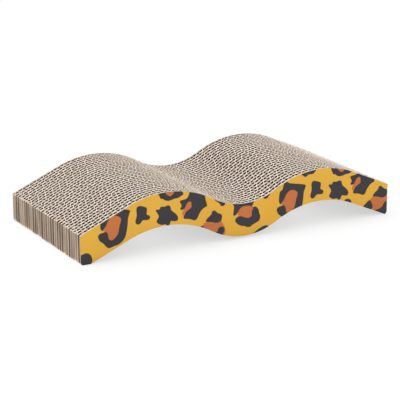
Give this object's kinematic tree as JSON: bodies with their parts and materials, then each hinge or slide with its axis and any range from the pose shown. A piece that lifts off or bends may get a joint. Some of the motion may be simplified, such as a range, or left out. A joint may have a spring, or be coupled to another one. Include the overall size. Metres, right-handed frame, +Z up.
{
  "type": "cat scratcher",
  "caption": "Wave-shaped cat scratcher of corrugated cardboard strips on edge, glued face to face between two printed cover cards; open flutes form the scratching surface.",
  "frame": {"origin": "on the floor, under the middle of the strips' length and of the stack's width", "axes": "+X along the strips, +Y across the stack from the front cover to the rear cover, +Z up"},
  "size_m": [0.44, 0.207, 0.0747],
  "materials": {
    "corrugated_board": "matte",
    "printed_card": "matte"
  },
  "bodies": {
    "root": {"front_cover": "printed_card", "board_01": "corrugated_board", "board_02": "corrugated_board", "board_03": "corrugated_board", "board_04": "corrugated_board", "board_05": "corrugated_board", "board_06": "corrugated_board", "board_07": "corrugated_board", "board_08": "corrugated_board", "board_09": "corrugated_board", "board_10": "corrugated_board", "board_11": "corrugated_board", "board_12": "corrugated_board", "board_13": "corrugated_board", "board_14": "corrugated_board", "board_15": "corrugated_board", "board_16": "corrugated_board", "board_17": "corrugated_board", "board_18": "corrugated_board", "board_19": "corrugated_board", "board_20": "corrugated_board", "board_21": "corrugated_board", "board_22": "corrugated_board", "board_23": "corrugated_board", "board_24": "corrugated_board", "board_25": "corrugated_board", "board_26": "corrugated_board", "board_27": "corrugated_board", "board_28": "corrugated_board", "board_29": "corrugated_board", "board_30": "corrugated_board", "rear_cover": "printed_card"}
  },
  "joints": []
}
